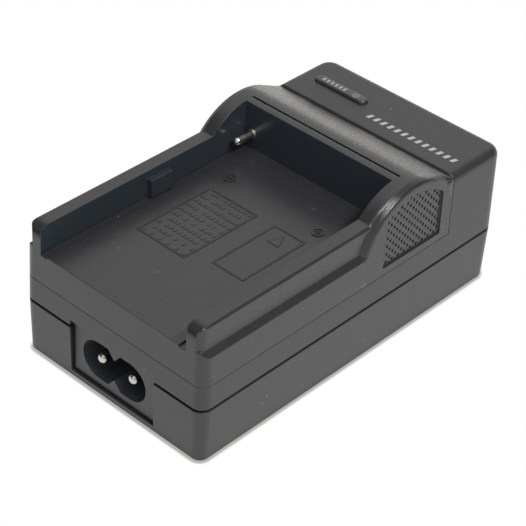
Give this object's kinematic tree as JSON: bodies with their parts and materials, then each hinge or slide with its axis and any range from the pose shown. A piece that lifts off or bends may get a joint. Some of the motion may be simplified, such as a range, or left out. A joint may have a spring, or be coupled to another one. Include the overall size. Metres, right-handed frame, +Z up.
{
  "type": "camera battery charger",
  "caption": "Desk-top camera battery charger: black two-part case, raised head with status window, open cradle with arched contact end, side grilles and figure-8 mains inlet.",
  "frame": {"origin": "centre of the bounding box's bottom face, on the surface the charger lies on", "axes": "+Z up, +Y from the mains inlet end towards the raised head, +X to the right seen from the inlet end with the head behind"},
  "size_m": [0.049, 0.0882, 0.0361],
  "materials": {
    "case_plastic": "fine satin",
    "plate_plastic": "fine satin",
    "inlet_plastic": "satin",
    "pin_metal": "polished nickel",
    "strip_metal": "plain",
    "screw_metal": "zinc",
    "board_laminate": "paper laminate",
    "chip_plastic": "moulded",
    "ferrite": "ground ferrite",
    "bobbin_plastic": "moulded",
    "winding_tape": "polyester tape over copper wire",
    "can_sleeve": "shrunk sleeve on aluminium",
    "film_box": "moulded box",
    "fuse_body": "ceramic",
    "resistor_body": "lacquer",
    "led_plastic": "clear tinted",
    "lens_plastic": "smoked clear"
  },
  "bodies": {
    "root": {"lower_case": "case_plastic", "upper_case": "case_plastic", "battery_plate": "plate_plastic", "inlet_block": "inlet_plastic", "inlet_pins": "pin_metal", "contact_pins": "pin_metal", "plate_terminals": "strip_metal", "base_contacts": "strip_metal", "case_screws": "screw_metal", "circuit_board": "board_laminate", "fuse": "fuse_body", "suppression_capacitor": "film_box", "input_choke": "ferrite", "bridge_diodes": "chip_plastic", "bulk_capacitor": "can_sleeve", "switching_controller": "chip_plastic", "transformer_core": "ferrite", "transformer_bobbin": "bobbin_plastic", "transformer_winding": "winding_tape", "output_diode": "chip_plastic", "output_capacitor": "can_sleeve", "optocoupler": "chip_plastic", "charge_controller": "chip_plastic", "resistors": "resistor_body", "indicator_led": "led_plastic", "indicator_lens": "lens_plastic"}
  },
  "joints": []
}
